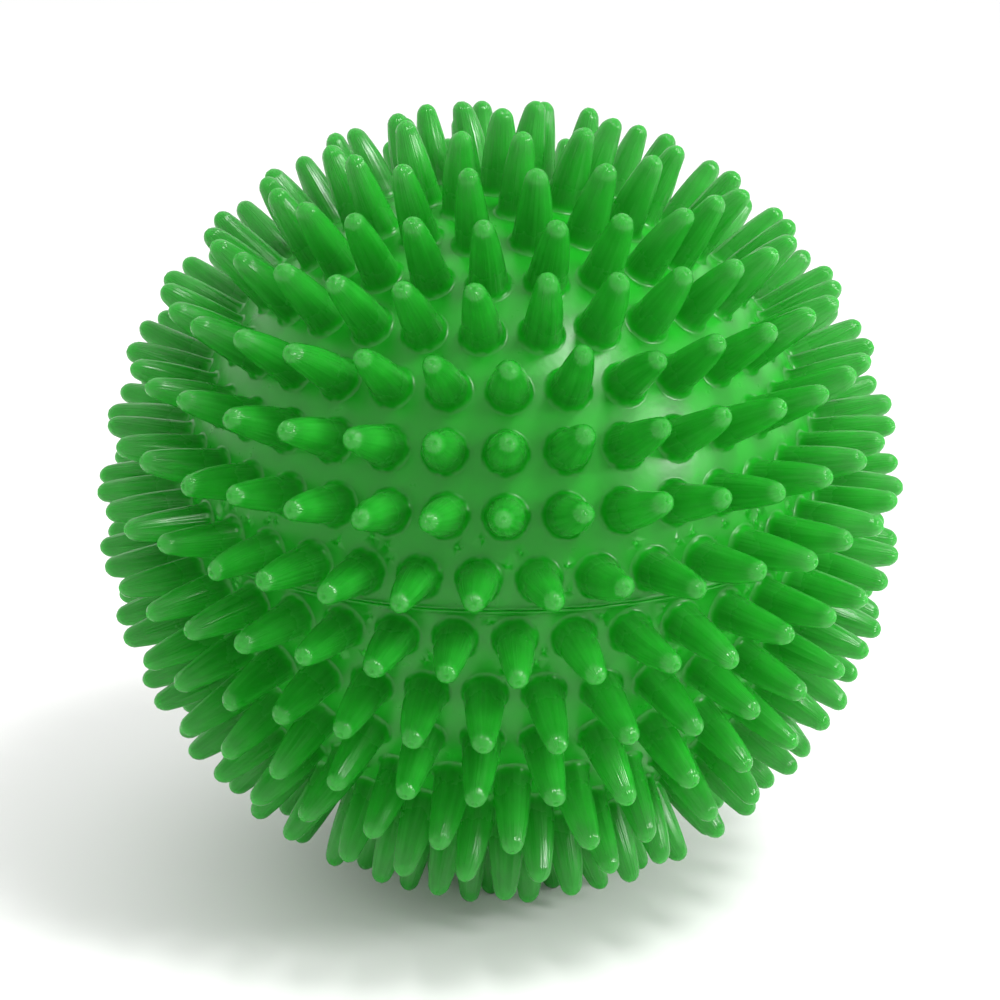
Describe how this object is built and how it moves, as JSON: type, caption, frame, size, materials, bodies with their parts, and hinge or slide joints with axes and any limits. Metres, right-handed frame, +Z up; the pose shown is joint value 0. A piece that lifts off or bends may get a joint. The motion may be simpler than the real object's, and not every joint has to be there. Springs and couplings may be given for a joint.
{
  "type": "dryer ball",
  "caption": "Hollow soft plastic ball with rows of round-tipped spikes that tumbles between laundry in a dryer; an air valve sits at one pole.",
  "frame": {"origin": "on the surface the ball stands on, under the middle of the ball, where the ring of lowest spike tips touches", "axes": "+Z up along the moulding axis through both poles; -Y is the front that the picture's view looks at; +X is to the right of that view"},
  "size_m": [0.0748, 0.0748, 0.0738],
  "materials": {
    "soft_green_pvc": "glossy, slightly translucent soft PVC, moulded",
    "valve_bush_pvc": "satin, firmer PVC, nearly opaque",
    "valve_plug_pvc": "satin, firmer PVC, nearly opaque"
  },
  "bodies": {
    "ball": {"upper_shell": "soft_green_pvc", "lower_shell": "soft_green_pvc", "valve_bush": "valve_bush_pvc"},
    "plug": {"valve_plug": "valve_plug_pvc"}
  },
  "joints": [
    {"name": "plug_pull", "type": "slide", "parent": "ball", "child": "plug", "axis": [0, 0, -1], "range_m": [0, 0.014]}
  ]
}
